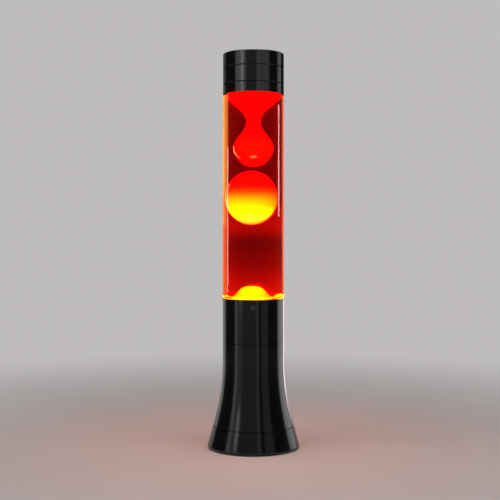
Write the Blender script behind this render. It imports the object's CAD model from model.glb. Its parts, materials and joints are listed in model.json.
"""Looks of the lava lamp: materials, the liquid in the bottle, studio lights and the camera.

Metres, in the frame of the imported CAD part: +Z up, the front is -Y.
"""

import bpy
import json
import math
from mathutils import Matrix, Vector


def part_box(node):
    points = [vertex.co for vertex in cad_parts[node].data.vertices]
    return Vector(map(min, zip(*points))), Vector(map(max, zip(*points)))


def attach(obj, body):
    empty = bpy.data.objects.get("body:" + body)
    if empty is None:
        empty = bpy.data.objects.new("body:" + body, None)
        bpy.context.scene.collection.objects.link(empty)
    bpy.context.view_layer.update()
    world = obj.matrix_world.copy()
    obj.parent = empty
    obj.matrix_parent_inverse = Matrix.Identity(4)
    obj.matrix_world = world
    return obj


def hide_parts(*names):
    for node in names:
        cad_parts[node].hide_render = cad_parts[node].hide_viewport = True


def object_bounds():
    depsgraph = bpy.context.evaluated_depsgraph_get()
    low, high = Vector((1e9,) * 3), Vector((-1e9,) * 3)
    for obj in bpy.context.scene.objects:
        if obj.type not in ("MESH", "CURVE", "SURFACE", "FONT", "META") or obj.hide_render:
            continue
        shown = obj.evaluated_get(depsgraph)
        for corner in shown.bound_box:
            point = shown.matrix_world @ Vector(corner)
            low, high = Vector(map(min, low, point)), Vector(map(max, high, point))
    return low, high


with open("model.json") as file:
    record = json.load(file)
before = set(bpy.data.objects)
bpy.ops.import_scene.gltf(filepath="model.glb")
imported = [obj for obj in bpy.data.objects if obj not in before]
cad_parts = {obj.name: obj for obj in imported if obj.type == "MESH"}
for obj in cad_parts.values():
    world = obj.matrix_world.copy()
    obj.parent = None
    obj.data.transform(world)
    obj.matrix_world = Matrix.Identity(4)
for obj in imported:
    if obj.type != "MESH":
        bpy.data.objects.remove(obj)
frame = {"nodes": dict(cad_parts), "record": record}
cad_low, cad_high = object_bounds()

LAMP_HEIGHT = cad_high.z
TUBE_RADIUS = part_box("glass_bottle")[1].x
COLLAR_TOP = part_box("collar_sleeve")[1].z
CAP_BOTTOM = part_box("cap_lower_ring")[0].z


# ---------------------------------------------------------------- camera
def make_camera():
    """A level camera with a portrait lens, a little above and left of the lamp's middle."""
    distance = 2.48 * LAMP_HEIGHT
    height = 0.5375 * LAMP_HEIGHT
    aside = 0.0035
    view_drop = 0.028  # as a share of the frame
    data = bpy.data.cameras.new("camera")
    data.lens = 70
    data.sensor_width = 36
    data.shift_y = -view_drop
    data.dof.use_dof = False
    camera = bpy.data.objects.new("camera", data)
    camera.location = (-aside, -distance, height)
    camera.rotation_euler = (math.radians(90), 0, 0)
    bpy.context.scene.collection.objects.link(camera)
    bpy.context.scene.camera = camera


# ---------------------------------------------------------------- node helpers
class Shader:
    """One material's nodes, with short calls for the ones used here."""

    def __init__(self, name):
        self.material = bpy.data.materials.new(name)
        self.material.use_nodes = True
        self.nodes = self.material.node_tree.nodes
        self.links = self.material.node_tree.links
        self.surface = self.nodes["Principled BSDF"]
        self.output = self.nodes["Material Output"]
        self.place = self.nodes.new("ShaderNodeTexCoord").outputs["Object"]

    def plain(self, **values):
        """Sets the Principled shader's own sockets, such as base_color or coat_weight."""
        for name, value in values.items():
            words = name.replace("_", " ").title().replace("Ior", "IOR")
            self.surface.inputs[words].default_value = value

    def drive(self, socket, source):
        """Links a value to one of the Principled shader's sockets."""
        self.links.new(source, self.surface.inputs[socket])

    def stretched(self, scale):
        """Object coordinates scaled by three numbers."""
        mapping = self.nodes.new("ShaderNodeMapping")
        mapping.inputs["Scale"].default_value = scale
        self.links.new(self.place, mapping.inputs["Vector"])
        return mapping.outputs["Vector"]

    def noise(self, scale, detail=4.0, place=None):
        """Cloudy noise, of about scale spots per unit of place, which is metres by default."""
        texture = self.nodes.new("ShaderNodeTexNoise")
        texture.inputs["Scale"].default_value = scale
        texture.inputs["Detail"].default_value = detail
        self.links.new(place or self.place, texture.inputs["Vector"])
        return texture.outputs["Fac"]

    def cells(self, scale):
        """Distance from the middle of each cell, 0 there, with scale as cells per metre."""
        texture = self.nodes.new("ShaderNodeTexVoronoi")
        texture.inputs["Scale"].default_value = scale
        self.links.new(self.place, texture.inputs["Vector"])
        return texture.outputs["Distance"]

    def height(self, low, high):
        """0 at height low to 1 at height high."""
        split = self.nodes.new("ShaderNodeSeparateXYZ")
        self.links.new(self.place, split.inputs[0])
        return self.remap(split.outputs["Z"], low, high, 0.0, 1.0)

    def remap(self, source, low, high, to_low, to_high):
        """Turns the range from low to high into to_low to to_high, and clamps it."""
        node = self.nodes.new("ShaderNodeMapRange")
        self.links.new(source, node.inputs["Value"])
        node.inputs["From Min"].default_value = low
        node.inputs["From Max"].default_value = high
        node.inputs["To Min"].default_value = to_low
        node.inputs["To Max"].default_value = to_high
        return node.outputs["Result"]

    def sum(self, first, second, share):
        """first + share * second."""
        node = self.nodes.new("ShaderNodeMath")
        node.operation = "MULTIPLY_ADD"
        self.links.new(second, node.inputs[0])
        node.inputs[1].default_value = share
        self.links.new(first, node.inputs[2])
        return node.outputs[0]

    def ramp(self, source, stops):
        """Colours along source, from (place, (r, g, b)) stops."""
        node = self.nodes.new("ShaderNodeValToRGB")
        self.links.new(source, node.inputs["Fac"])
        band = node.color_ramp
        while len(band.elements) < len(stops):
            band.elements.new(0.5)
        for element, (place, colour) in zip(band.elements, stops):
            element.position = place
            element.color = (*colour, 1.0)
        return node.outputs["Color"]

    def absorb(self, colour, density):
        """Fills the body with colour that deepens with the way through it, per metre."""
        volume = self.nodes.new("ShaderNodeVolumeAbsorption")
        volume.inputs["Color"].default_value = (*colour, 1.0)
        volume.inputs["Density"].default_value = density
        self.links.new(volume.outputs[0], self.output.inputs["Volume"])

    def bump(self, source, strength, depth):
        """Fine relief, with depth in metres."""
        node = self.nodes.new("ShaderNodeBump")
        node.inputs["Strength"].default_value = strength
        node.inputs["Distance"].default_value = depth
        self.links.new(source, node.inputs["Height"])
        self.drive("Normal", node.outputs["Normal"])


def grey(value):
    """A neutral colour."""
    return (value, value, value)


def tones(shader, source, dark, light):
    """Drives the base colour between two colours."""
    stops = [(0.3, dark), (0.7, light)]
    shader.drive("Base Color", shader.ramp(source, stops))


# ---------------------------------------------------------------- opaque materials
LACQUER_DARK = (0.003, 0.003, 0.0035)
LACQUER_LIGHT = (0.006, 0.006, 0.0065)


def lacquer(name):
    """Black satin lacquer on turned metal: faint rings round it, and a slight orange peel."""
    shader = Shader(name)
    rings = shader.noise(1.0, 3.0, shader.stretched((12, 12, 900)))
    peel = shader.noise(500, 2.0)
    cloud = shader.noise(45, 5.0)
    tones(shader, cloud, LACQUER_DARK, LACQUER_LIGHT)
    wear = shader.sum(rings, cloud, 0.6)
    shader.drive("Roughness", shader.remap(wear, 0.5, 1.1, 0.13, 0.21))
    shader.bump(shader.sum(peel, rings, 0.5), 0.1, 0.00004)
    shader.plain(coat_weight=0.3, coat_roughness=0.1, specular_ior_level=0.5)
    return shader.material


def gloss_moulding(name):
    """Glossy black plastic like the lacquer beside it, with a matt lip above the outer band."""
    shader = Shader(name)
    seam_gap = 0.0006
    edge = 0.0001
    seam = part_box("flared_shell")[0].z - seam_gap
    lip = shader.height(seam, seam + edge)
    peel = shader.noise(500, 2.0)
    cloud = shader.noise(45, 5.0)
    tones(shader, cloud, LACQUER_DARK, LACQUER_LIGHT)
    band = shader.remap(cloud, 0.3, 0.7, 0.12, 0.18)
    shader.drive("Roughness", shader.sum(band, lip, 0.8))
    shader.bump(peel, 0.1, 0.00003)
    shader.plain(specular_ior_level=0.62)
    return shader.material


def moulding(name, dark, light, grain, rough):
    """Moulded plastic or rubber with a fine grain."""
    shader = Shader(name)
    fine = shader.noise(grain, 3.0)
    cloud = shader.noise(60, 4.0)
    tones(shader, cloud, dark, light)
    shader.drive("Roughness", shader.remap(fine, 0.3, 0.7, rough - 0.08, rough + 0.08))
    shader.bump(fine, 0.25, 0.0002)
    return shader.material


def metal(name, dark, light, rough, brush=(300, 300, 300)):
    """Bare metal with brushing, small stains and uneven polish."""
    shader = Shader(name)
    streaks = shader.noise(1.0, 4.0, shader.stretched(brush))
    stains = shader.noise(140, 6.0)
    tones(shader, stains, dark, light)
    mix = shader.sum(streaks, stains, 0.5)
    shader.drive("Roughness", shader.remap(mix, 0.4, 1.0, rough - 0.08, rough + 0.12))
    shader.bump(streaks, 0.15, 0.0001)
    shader.plain(metallic=1.0)
    return shader.material


def phenolic(name):
    """Cream heat-proof moulding, smooth, with a slight mottle."""
    shader = Shader(name)
    mottle = shader.noise(220, 5.0)
    tones(shader, mottle, (0.68, 0.65, 0.58), (0.80, 0.78, 0.71))
    shader.drive("Roughness", shader.remap(mottle, 0.3, 0.7, 0.25, 0.4))
    shader.bump(shader.noise(1200, 2.0), 0.08, 0.0002)
    return shader.material


# ---------------------------------------------------------------- glass and light
def clear_glass(name):
    """Clear glass with an orange tint in its depth and the soft waves of drawn tube."""
    shader = Shader(name)
    waves = shader.noise(1.0, 2.0, shader.stretched((40, 40, 9)))
    tones(shader, waves, (0.985, 0.975, 0.97), (1.0, 0.995, 0.99))
    shader.plain(roughness=0.0, transmission_weight=1.0, ior=1.47)
    shader.absorb((0.98, 0.42, 0.0), 560.0)
    return shader.material


def red_liquid(name):
    """Clear red liquid. It absorbs green and blue in a few millimetres, and red slowly.

    It glows a little over the pool and below the ball, where it scatters the bulb's light.
    """
    shader = Shader(name)
    shader.plain(base_color=(1, 1, 1, 1), roughness=0.0, transmission_weight=1.0, ior=1.0)
    shader.absorb((0.86, 0.06, 0.0), 125.0)
    glow_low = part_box("wax_pool")[1].z - 0.012
    glow_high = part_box("wax_ball")[0].z + 0.026
    shader.drive("Emission Color", shader.ramp(shader.height(glow_low, glow_high), LIQUID_GLOW))
    shader.plain(emission_strength=0.7)
    return shader.material


def wax(name, node, stops, strength):
    """Molten wax, lit through from below: its glow changes with height over the node."""
    shader = Shader(name)
    low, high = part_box(node)
    swirl = shader.noise(35, 3.0)
    unevenness = 0.04
    level = shader.sum(shader.height(low.z, high.z), swirl, unevenness)
    glow = shader.ramp(level, stops)
    shader.drive("Base Color", glow)
    shader.drive("Emission Color", glow)
    shader.drive("Roughness", shader.remap(swirl, 0.3, 0.7, 0.10, 0.16))
    shader.bump(shader.noise(60, 1.0), 0.05, 0.0006)
    shader.plain(emission_strength=strength)
    return shader.material


def bulb_glass(name):
    """A reflector bulb: silvered below its rim, and a frosted face that glows."""
    shader = Shader(name)
    low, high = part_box("bulb_envelope")
    rim_share = 0.8
    blend = 0.001
    rim = low.z + rim_share * (high.z - low.z)
    face = shader.height(rim - blend, rim + blend)
    speckle = shader.noise(900, 3.0)
    silver = (0.75, 0.75, 0.74)
    frost = (0.95, 0.86, 0.72)
    warm = (1.0, 0.72, 0.4)
    shader.drive("Base Color", shader.ramp(face, [(0.0, silver), (1.0, frost)]))
    shader.drive("Metallic", shader.remap(face, 0, 1, 1.0, 0.0))
    shader.drive("Emission Color", shader.ramp(face, [(0.0, grey(0)), (1.0, warm)]))
    shader.drive("Roughness", shader.remap(shader.sum(face, speckle, 0.3), 0, 1.3, 0.12, 0.6))
    shader.bump(speckle, 0.05, 0.0001)
    shader.plain(emission_strength=3.0)
    return shader.material


def stem_glass(name):
    """The bulb's inner stem, of glass with small seeds in it."""
    shader = Shader(name)
    seeds = shader.ramp(shader.cells(900), [(0.0, (0.85, 0.9, 0.87)), (0.5, (0.97, 1, 0.98))])
    shader.drive("Base Color", seeds)
    shader.plain(roughness=0.03, transmission_weight=1.0, ior=1.5)
    return shader.material


def filament(name):
    """Glowing tungsten wire, hotter in places."""
    shader = Shader(name)
    hot = shader.ramp(shader.noise(500), [(0.3, (1.0, 0.45, 0.12)), (0.7, (1.0, 0.75, 0.4))])
    shader.drive("Emission Color", hot)
    shader.drive("Base Color", hot)
    shader.plain(emission_strength=20.0, metallic=1.0, roughness=0.5)
    return shader.material


# ---------------------------------------------------------------- which node has which
# Each glow is a list of (height, colour), from 0 at the bottom of its stretch to 1 at its top.
LIQUID_GLOW = [
    (0.0, (0.62, 0.012, 0.0)),
    (0.14, (0.40, 0.006, 0.0)),
    (0.32, (0.13, 0.0, 0.0)),
    (0.50, (0.02, 0.0, 0.0)),
    (0.58, (0.0, 0.0, 0.0)),
    (0.72, (0.33, 0.004, 0.0)),
    (0.84, (0.24, 0.002, 0.0)),
    (1.0, (0.0, 0.0, 0.0)),
]
BALL_GLOW = [
    (0.0, (1.0, 1.0, 0.05)),
    (0.22, (1.0, 0.9, 0.0)),
    (0.31, (0.75, 0.34, 0.0)),
    (0.37, (0.65, 0.18, 0.0)),
    (0.44, (0.50, 0.12, 0.0)),
    (0.50, (0.42, 0.075, 0.0)),
    (0.60, (0.28, 0.015, 0.0)),
    (0.70, (0.22, 0.0006, 0.0)),
    (1.0, (0.25, 0.0, 0.0)),
]
COLUMN_GLOW = [
    (0.0, (0.55, 0.003, 0.0)),
    (0.25, (0.6, 0.005, 0.0)),
    (0.45, (0.5, 0.0, 0.0)),
    (1.0, (0.5, 0.0, 0.0)),
]
POOL_GLOW = [
    (0.0, (0.12, 0.104, 0.0)),
    (0.66, (0.12, 0.104, 0.0)),
    (0.8, (0.32, 0.30, 0.0)),
    (1.0, (0.85, 0.80, 0.0)),
]


def make_materials():
    """Every material, by the name of its slot in the record."""
    steel_dark = (0.42, 0.42, 0.40)
    steel_light = (0.62, 0.62, 0.60)
    return {
        "black_lacquer": lacquer("black_lacquer"),
        "black_gloss_moulding": gloss_moulding("black_gloss_moulding"),
        "black_moulding": moulding("black_moulding", grey(0.012), grey(0.022), 1800, 0.55),
        "black_plate": moulding("black_plate", grey(0.018), grey(0.03), 1100, 0.5),
        "black_rubber": moulding("black_rubber", grey(0.022), grey(0.036), 2600, 0.8),
        "liner_foam": moulding("liner_foam", (0.62, 0.61, 0.57), (0.76, 0.75, 0.7), 1500, 0.85),
        "bulb_black_glass": moulding("bulb_black_glass", grey(0.02), grey(0.04), 500, 0.2),
        "black_screw": metal("black_screw", grey(0.10), grey(0.18), 0.36),
        "zinc_steel": metal("zinc_steel", steel_dark, steel_light, 0.32, (500, 60, 60)),
        "holder_brass": metal("holder_brass", (0.55, 0.36, 0.14), (0.82, 0.6, 0.28), 0.28),
        "bulb_metal": metal("bulb_metal", grey(0.62), (0.8, 0.79, 0.76), 0.3, (20, 20, 900)),
        "bulb_solder": metal("bulb_solder", grey(0.38), grey(0.55), 0.45),
        "crown_steel": metal("crown_steel", (0.5, 0.48, 0.43), (0.68, 0.66, 0.6), 0.3),
        "white_phenolic": phenolic("white_phenolic"),
        "clear_glass": clear_glass("clear_glass"),
        "red_liquid": red_liquid("red_liquid"),
        "stem_glass": stem_glass("stem_glass"),
        "filament_wire": filament("filament_wire"),
        "bulb_glass": bulb_glass("bulb_glass"),
        "wax_orange": wax("wax_orange", "wax_ball", BALL_GLOW, 15.0),
        "wax_red": wax("wax_red", "wax_column", COLUMN_GLOW, 5.0),
        "wax_yellow": wax("wax_yellow", "wax_pool", POOL_GLOW, 36.0),
    }


def finish_cad_nodes(materials):
    """Gives every CAD node the material of its slot in the record."""
    for subpart in frame["record"]["subparts"]:
        node = frame["nodes"][subpart["node"]]
        node.data.materials.clear()
        node.data.materials.append(materials[subpart["material_slot"]])


# ---------------------------------------------------------------- liquid
def rounded(corners, steps=6):
    """Points of an outline from (r, z, radius) corners, with each corner's arc."""
    points = []
    for i, (r, z, radius) in enumerate(corners):
        here = Vector((r, z))
        if radius == 0:
            points.append(here)
            continue
        back = (Vector(corners[i - 1][:2]) - here).normalized()
        on = (Vector(corners[i + 1][:2]) - here).normalized()
        half = back.angle(on) / 2
        centre = here + (back + on).normalized() * radius / math.sin(half)
        start = here + back * radius / math.tan(half) - centre
        end = here + on * radius / math.tan(half) - centre
        for step in range(steps + 1):
            points.append(centre + start.slerp(end, step / steps).normalized() * radius)
    return points


def turned(name, outline, sides=160):
    """A closed smooth mesh, turned about Z from an outline that starts and ends on the axis."""
    verts = [(0, 0, outline[0].y), (0, 0, outline[-1].y)]
    rings = outline[1:-1]
    for point in rings:
        for side in range(sides):
            angle = 2 * math.pi * side / sides
            verts.append((point.x * math.cos(angle), point.x * math.sin(angle), point.y))
    faces = []
    last = 2 + (len(rings) - 1) * sides
    for side in range(sides):
        next_side = (side + 1) % sides
        faces.append((0, 2 + next_side, 2 + side))
        faces.append((1, last + side, last + next_side))
        for ring in range(len(rings) - 1):
            low = 2 + ring * sides
            high = low + sides
            faces.append((low + side, low + next_side, high + next_side, high + side))
    mesh = bpy.data.meshes.new(name)
    mesh.from_pydata(verts, [], faces)
    mesh.polygons.foreach_set("use_smooth", [True] * len(faces))
    mesh.update()
    piece = bpy.data.objects.new(name, mesh)
    bpy.context.scene.collection.objects.link(piece)
    return piece


def make_liquid(material):
    """The liquid as one body that fills the bottle, with the wax inside it."""
    low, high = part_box("liquid")
    gap = 0.00012
    bottom = low.z + gap
    spigot_radius = 0.0250 - gap
    spigot_top = COLLAR_TOP - 0.0042
    tube_radius = high.x - gap
    tube_bottom = COLLAR_TOP + 0.0018
    tube_top = CAP_BOTTOM - 0.0017
    shoulder_radius = tube_radius - 0.0023
    shoulder_top = tube_top + 0.0051
    neck_radius = 0.0102 - gap
    neck_bottom = high.z - 0.0052
    outline = rounded(
        [
            (0, bottom, 0),
            (spigot_radius, bottom, 0.004),
            (spigot_radius, spigot_top, 0.003),
            (tube_radius, tube_bottom, 0.002),
            (tube_radius, tube_top, 0.002),
            (shoulder_radius, shoulder_top, 0.004),
            (neck_radius, neck_bottom, 0.006),
            (neck_radius, high.z, 0),
            (0, high.z, 0),
        ]
    )
    liquid = turned("liquid_fill", outline)
    liquid.data.materials.append(material)
    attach(liquid, "bottle")
    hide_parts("liquid")


# ---------------------------------------------------------------- studio
def make_floor():
    """A pale table top, which fades out round the lamp so that no edge or horizon shows."""
    size = 6.0
    fade_from = 0.16
    fade_to = 0.85
    mesh = bpy.data.meshes.new("floor")
    corners = [(-size, -size, 0), (size, -size, 0), (size, size, 0), (-size, size, 0)]
    mesh.from_pydata(corners, [], [(0, 1, 2, 3)])
    floor = bpy.data.objects.new("floor", mesh)
    bpy.context.scene.collection.objects.link(floor)
    shader = Shader("floor")
    cloud = shader.noise(3.0, 5.0)
    tones(shader, cloud, (0.66, 0.64, 0.63), (0.70, 0.68, 0.67))
    shader.drive("Roughness", shader.remap(cloud, 0.3, 0.7, 0.5, 0.6))
    shader.plain(specular_ior_level=0.2)
    reach = shader.nodes.new("ShaderNodeVectorMath")
    reach.operation = "LENGTH"
    shader.links.new(shader.place, reach.inputs[0])
    fade = shader.remap(reach.outputs["Value"], fade_from, fade_to, 0.0, 1.0)
    fade.node.interpolation_type = "SMOOTHSTEP"
    clear = shader.nodes.new("ShaderNodeBsdfTransparent")
    mix = shader.nodes.new("ShaderNodeMixShader")
    shader.links.new(fade, mix.inputs[0])
    shader.links.new(shader.surface.outputs[0], mix.inputs[1])
    shader.links.new(clear.outputs[0], mix.inputs[2])
    shader.links.new(mix.outputs[0], shader.output.inputs["Surface"])
    mesh.materials.append(shader.material)


def make_world():
    """A pale background for the camera, also through clear glass. All else sees a dim room."""
    pale = (0.52, 0.505, 0.50, 1)
    dim = (0.025, 0.025, 0.027, 1)
    half_a_bounce = 0.5  # less than this is none
    world = bpy.data.worlds.new("studio")
    world.use_nodes = True
    nodes = world.node_tree.nodes
    links = world.node_tree.links
    path = nodes.new("ShaderNodeLightPath")
    unmirrored = nodes.new("ShaderNodeMath")
    unmirrored.operation = "LESS_THAN"
    links.new(path.outputs["Glossy Depth"], unmirrored.inputs[0])
    unmirrored.inputs[1].default_value = half_a_bounce
    through = nodes.new("ShaderNodeMath")
    through.operation = "MULTIPLY"
    links.new(path.outputs["Is Transmission Ray"], through.inputs[0])
    links.new(unmirrored.outputs[0], through.inputs[1])
    seen = nodes.new("ShaderNodeMath")
    seen.operation = "MAXIMUM"
    links.new(path.outputs["Is Camera Ray"], seen.inputs[0])
    links.new(through.outputs[0], seen.inputs[1])
    mix = nodes.new("ShaderNodeMix")
    mix.data_type = "RGBA"
    links.new(seen.outputs[0], mix.inputs["Factor"])
    mix.inputs["A"].default_value = dim
    mix.inputs["B"].default_value = pale
    links.new(mix.outputs["Result"], nodes["Background"].inputs["Color"])
    bpy.context.scene.world = world


def light_only(light, names):
    """Lets the light fall on the CAD nodes or pieces with these names and nothing else."""
    chosen = bpy.data.collections.new(light.name + "_lit")
    for name in names:
        chosen.objects.link(frame["nodes"].get(name) or bpy.data.objects[name])
    light.light_linking.receiver_collection = chosen


WHITE = (1.0, 1.0, 1.0)
WATTS_PER_AREA = 4  # per square metre of a panel, for a radiance of 1


def panel(name, size, radiance, colour=WHITE):
    """A rectangular area light of a given brightness, hidden from the camera and through glass."""
    data = bpy.data.lights.new(name, "AREA")
    data.shape = "RECTANGLE"
    data.size, data.size_y = size
    data.energy = radiance * WATTS_PER_AREA * size[0] * size[1]
    data.color = colour
    light = bpy.data.objects.new(name, data)
    light.visible_camera = False
    light.visible_transmission = False
    bpy.context.scene.collection.objects.link(light)
    return light


def upright(name, azimuth, width, low, high, radiance, colour=WHITE, distance=1.3):
    """An upright panel that faces the lamp, with its width as the degrees that it spans.

    Azimuth 0 is the front, 90 the right.
    """
    angle = math.radians(azimuth)
    wide = 2 * distance * math.tan(math.radians(width / 2))
    light = panel(name, (wide, high - low), radiance, colour)
    light.location = (distance * math.sin(angle), -distance * math.cos(angle), (low + high) / 2)
    light.rotation_euler = (math.radians(90), 0, angle)
    return light


LACQUERED_BASE = ("foot_ring", "flared_shell", "collar_sleeve", "collar_screws")
LACQUERED_CAP = ("cap_lower_ring", "cap_middle_ring", "cap_top_cover")
GLASS_AND_WAX = ("glass_bottle", "wax_ball", "wax_column", "wax_pool")
WARM = (1.0, 0.28, 0.05)
AMBER = (1.0, 0.20, 0.04)
EMBER = (1.0, 0.12, 0.03)
PINK = (1.0, 0.80, 0.86)
ROSE = (1.0, 0.46, 0.46)
RED = (1.0, 0.17, 0.09)


def make_lights():
    """Large soft panels light the table and the inside, and narrow ones streak gloss and glass."""
    glossy = LACQUERED_BASE + LACQUERED_CAP + GLASS_AND_WAX
    others = [node for node in frame["nodes"] if node not in glossy] + ["floor"]
    top = panel("top", (1.6, 1.6), 1.2)
    top.location = (0, -0.2, 1.7)
    light_only(top, others)
    for side in (-1, 1):
        light_only(upright(f"soft_{side + 1}", side * 60, 50, 0.1, 1.4, 0.8), others)
    near = 0.45
    for azimuth, width, low, high, radiance in (
        (-65, 11, 0.0, 0.34, 0.62),
        (-50, 15, 0.0, 0.34, 0.24),
        (-46, 9, 0.125, 0.30, 1.0),
        (-14, 56, 0.0, 0.44, 0.11),
        (15, 8, 0.0, 0.34, 0.26),
        (41, 24, 0.0, 0.34, 0.15),
        (117, 32, 0.0, 0.34, 0.9),
        (-143, 36, 0.0, 0.34, 0.36),
    ):
        streak = upright(f"base_{azimuth}", azimuth, width, low, high, radiance, distance=near)
        light_only(streak, LACQUERED_BASE)
    for azimuth, width, radiance in (
        (-50, 40, 0.75),
        (-43, 9, 1.1),
        (-5, 50, 0.12),
        (36, 48, 0.40),
        (114, 22, 0.55),
        (-150, 40, 0.12),
    ):
        streak = upright(f"cap_{azimuth}", azimuth, width, 0.4, 1.6, radiance)
        light_only(streak, LACQUERED_CAP)
    over = panel("cap_over", (0.6, 0.6), 8.0)
    over.location = (0, 0, 1.2)
    light_only(over, LACQUERED_CAP)
    rim = upright("rim", 153, 22, 0.0, 0.34, 1.9, PINK, near)
    light_only(rim, LACQUERED_BASE)
    for name, azimuth, width, low, high, radiance, colour in (
        ("line_left", -112, 6, 0.086, 0.42, 7.0, ROSE),
        ("line_right", 109, 8, 0.26, 0.52, 8.5, ROSE),
        ("line_rim", 150, 30, 0.02, 0.60, 2.6, RED),
        ("warm_left", -136, 54, 0.31, 0.62, 4.6, WARM),
        ("amber_left", -136, 54, 0.24, 0.31, 4.1, AMBER),
        ("ember_left", -136, 54, 0.04, 0.24, 3.6, EMBER),
    ):
        light_only(upright(name, azimuth, width, low, high, radiance, colour), ["glass_bottle"])


def glint(name, body, node, aim, size, reach, radiance, colour):
    """A small light in the liquid, set where the node mirrors it to the camera.

    aim is the (x, z) that the camera looks at, a little in front of the axis. reach is how far
    the light is from the place where it shows.
    """
    aim_y = -0.015
    eye = bpy.context.scene.camera.location
    wax_node = frame["nodes"][node]
    toward = (Vector((aim[0], aim_y, aim[1])) - eye).normalized()
    to_node = wax_node.matrix_world.inverted()
    _, hit, normal, _ = wax_node.ray_cast(to_node @ eye, to_node.to_3x3() @ toward)
    hit = wax_node.matrix_world @ hit
    normal = (wax_node.matrix_world.to_3x3() @ normal).normalized()
    mirrored = toward.reflect(normal)
    light = panel(name, size, radiance, colour)
    light.visible_diffuse = False
    light.location = hit + mirrored * reach
    light.rotation_euler = (-mirrored).to_track_quat("-Z", "Y").to_euler()
    light_only(light, [node])
    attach(light, body)


def make_glints():
    """The small bright spots and edges on the ball and on the drop above it."""
    bpy.context.view_layer.update()
    ball_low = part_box("wax_ball")[0]
    ball_edge = (ball_low.x + 0.0016, ball_low.z + 0.0260)
    ball_foot = (-0.003, ball_low.z + 0.0045)
    drop_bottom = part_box("wax_column")[0].z
    drop_foot = (0, drop_bottom + 0.0088)
    drop_edge = (-0.018, drop_bottom + 0.0120)
    pale = (1.0, 1.0, 0.85)
    peach = (1.0, 0.72, 0.42)
    glint("edge_ball", "wax", "wax_ball", ball_edge, (0.003, 0.036), 0.004, 260, pale)
    glint("glint_ball", "wax", "wax_ball", ball_foot, (0.008, 0.004), 0.012, 1800, pale)
    glint("glint_drop", "bottle", "wax_column", drop_foot, (0.010, 0.0025), 0.007, 700, peach)
    glint("edge_drop", "bottle", "wax_column", drop_edge, (0.003, 0.018), 0.005, 90, peach)


def make_glow():
    """The warm light that the bottle throws on the table around it."""
    reach = TUBE_RADIUS + 0.03
    height = COLLAR_TOP + 0.05
    for azimuth in (-90, 0, 90, 180):
        angle = math.radians(azimuth)
        data = bpy.data.lights.new(f"glow_{azimuth}", "POINT")
        data.energy = 0.2
        data.color = (1.0, 0.22, 0.06)
        data.shadow_soft_size = 0.02
        light = bpy.data.objects.new(f"glow_{azimuth}", data)
        light.location = (reach * math.sin(angle), -reach * math.cos(angle), height)
        light.visible_camera = False
        light.visible_glossy = False
        light.visible_transmission = False
        bpy.context.scene.collection.objects.link(light)


def main():
    make_camera()
    materials = make_materials()
    finish_cad_nodes(materials)
    make_liquid(materials["red_liquid"])
    make_floor()
    make_world()
    make_lights()
    make_glints()
    make_glow()
    bpy.context.scene.view_settings.view_transform = "Standard"


main()
